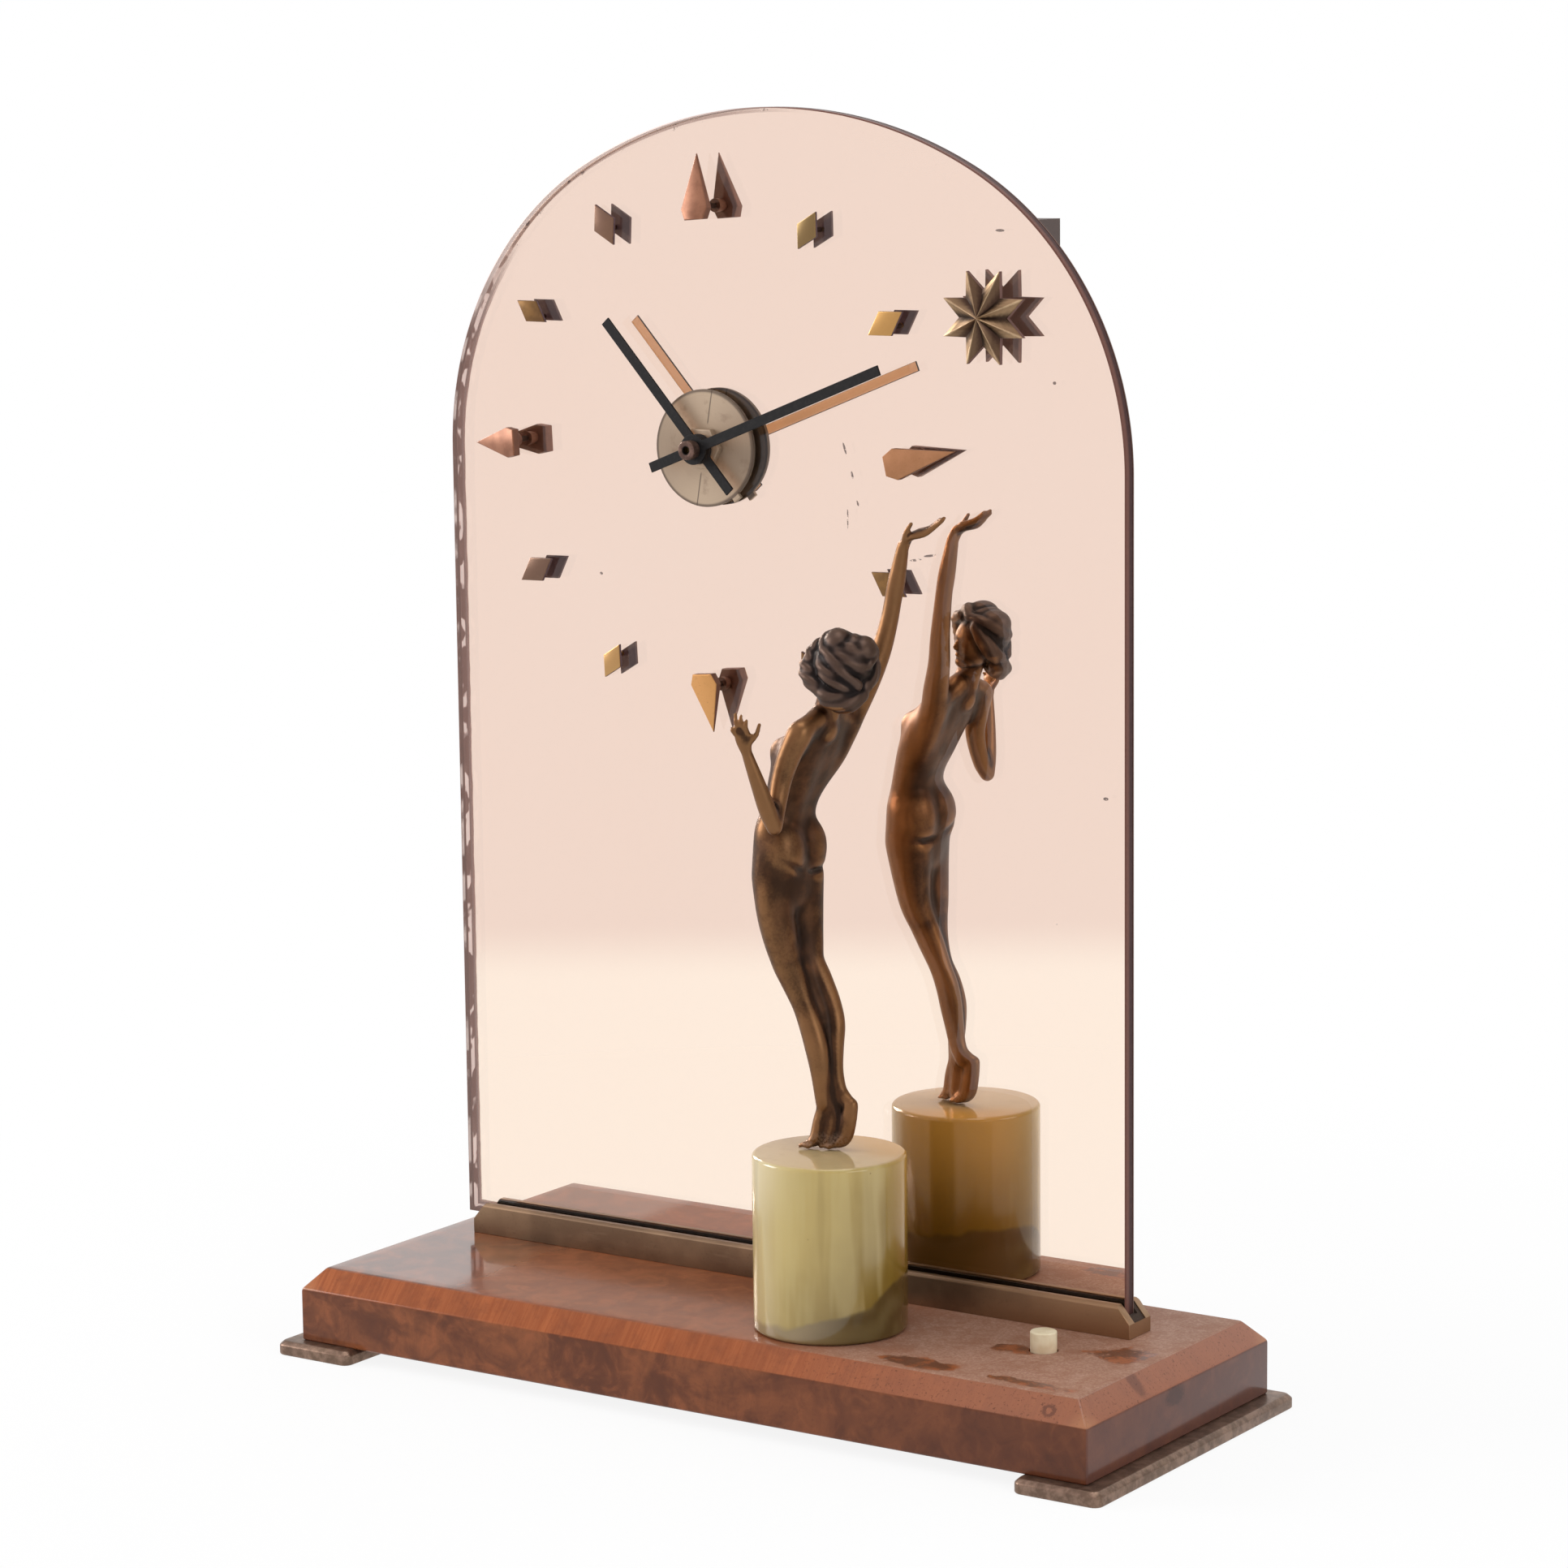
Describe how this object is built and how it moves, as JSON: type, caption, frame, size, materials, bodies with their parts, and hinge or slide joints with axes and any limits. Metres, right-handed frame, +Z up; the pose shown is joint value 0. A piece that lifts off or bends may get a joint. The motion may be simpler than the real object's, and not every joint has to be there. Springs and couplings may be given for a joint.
{
  "type": "mirror clock",
  "caption": "Table clock with an arched peach mirror as its dial, a veneered base on metal feet, a bronze dancer on an onyx plinth, a push button and a wound movement behind the glass.",
  "frame": {"origin": "on the table, under the middle of the base", "axes": "+Z up, +X to the viewer's right, +Y towards the back; the dial faces -Y"},
  "size_m": [0.272, 0.107, 0.3525],
  "materials": {
    "walnut": "burr veneer, old gloss polish",
    "bronzed_brass": "dull, brown-green",
    "steel": "plain",
    "felt": "dark felt",
    "clear_glass": "polished",
    "peach_silver": "silvered, peach tint",
    "antique_brass": "aged, satin",
    "copper": "aged copper",
    "nickel": "turned, brushed",
    "rubber": "matt",
    "black_enamel": "matt black",
    "onyx": "polished, banded",
    "bronze": "brown patina, rubbed high spots",
    "ivory": "ivory",
    "brass": "satin",
    "blued_steel": "blued",
    "fibre": "pressed board",
    "grey_enamel": "satin enamel"
  },
  "bodies": {
    "clock": {"base_block": "walnut", "foot_left": "bronzed_brass", "foot_right": "bronzed_brass", "foot_screws": "steel", "mirror_rail": "bronzed_brass", "rail_screws": "steel", "rail_packing": "felt", "mirror_glass": "clear_glass", "mirror_silver": "peach_silver", "hour_lozenges": "antique_brass", "quarter_drops": "copper", "star": "antique_brass", "marker_clips": "steel", "dial_disc": "nickel", "disc_washer": "rubber", "dial_nut": "nickel", "onyx_plinth": "onyx", "statuette": "bronze", "statuette_stud": "steel", "stud_nut": "steel", "button_bush": "brass", "button_spring": "steel", "contact_stud": "brass", "contact_board": "fibre", "button_cover": "grey_enamel", "cover_plate_screws": "steel", "mount_washer": "rubber", "mount_plate": "steel", "motion_posts": "brass", "plate_screws": "steel", "front_plate": "brass", "rear_plate": "brass", "pillars": "brass", "minute_stud": "steel", "click_screw": "steel", "cover_spacers": "steel", "dust_cover": "grey_enamel", "cover_screws": "steel"},
    "minute_train": {"centre_wheel": "brass", "cannon_pinion": "steel", "minute_hand": "black_enamel", "hand_nut": "antique_brass", "set_knob": "brass"},
    "hour_train": {"hour_wheel": "brass", "hour_hand": "black_enamel"},
    "motion_wheel": {"minute_wheel": "brass"},
    "going_barrel": {"barrel": "brass", "mainspring": "blued_steel"},
    "third": {"third_wheel": "brass"},
    "escape": {"escape_wheel": "brass"},
    "lever": {"pallet_lever": "steel"},
    "balance": {"balance_wheel": "brass"},
    "winding": {"winding_arbor": "steel", "ratchet_wheel": "steel", "winding_key": "brass"},
    "click_pawl": {"click": "steel"},
    "button": {"push_button": "ivory"}
  },
  "joints": [
    {"name": "minute_turn", "type": "hinge", "parent": "clock", "child": "minute_train", "pos_m": [-0.027, 0.02, 0.2592], "axis": [0, 1, 0], "continuous": true},
    {"name": "hour_turn", "type": "hinge", "parent": "clock", "child": "hour_train", "pos_m": [-0.027, 0.015, 0.2592], "axis": [0, 1, 0], "continuous": true},
    {"name": "motion_wheel_turn", "type": "hinge", "parent": "clock", "child": "motion_wheel", "pos_m": [-0.03828, 0.024, 0.2551], "axis": [0, 1, 0], "continuous": true},
    {"name": "barrel_turn", "type": "hinge", "parent": "clock", "child": "going_barrel", "pos_m": [-0.027, 0.033, 0.2322], "axis": [0, 1, 0], "continuous": true},
    {"name": "third_turn", "type": "hinge", "parent": "clock", "child": "third", "pos_m": [-0.0186, 0.035, 0.27375], "axis": [0, 1, 0], "continuous": true},
    {"name": "escape_turn", "type": "hinge", "parent": "clock", "child": "escape", "pos_m": [-0.0249, 0.035, 0.28466], "axis": [0, 1, 0], "continuous": true},
    {"name": "lever_swing", "type": "hinge", "parent": "clock", "child": "lever", "pos_m": [-0.03269, 0.035, 0.28916], "axis": [0, 1, 0], "range_deg": [-4, 4]},
    {"name": "balance_swing", "type": "hinge", "parent": "clock", "child": "balance", "pos_m": [-0.04135, 0.035, 0.29416], "axis": [0, 1, 0], "range_deg": [-150, 150], "stiffness_Nm_per_rad": 0.00002},
    {"name": "winding_turn", "type": "hinge", "parent": "clock", "child": "winding", "pos_m": [-0.027, 0.04, 0.2322], "axis": [0, 1, 0], "continuous": true},
    {"name": "click_lift", "type": "hinge", "parent": "clock", "child": "click_pawl", "pos_m": [-0.02025, 0.044, 0.24389], "axis": [0, -1, 0], "range_deg": [0, 8], "stiffness_Nm_per_rad": 0.01},
    {"name": "button_press", "type": "slide", "parent": "clock", "child": "button", "axis": [0, 0, -1], "range_m": [0, 0.003], "stiffness_N_per_m": 400, "deforming": ["button_spring"]}
  ],
  "couplings": [
    {"joint": "hour_turn", "follows": "minute_turn", "ratio": 0.083333},
    {"joint": "motion_wheel_turn", "follows": "minute_turn", "ratio": -0.33333},
    {"joint": "barrel_turn", "follows": "minute_turn", "ratio": -0.125},
    {"joint": "third_turn", "follows": "minute_turn", "ratio": -6},
    {"joint": "escape_turn", "follows": "minute_turn", "ratio": 36}
  ]
}
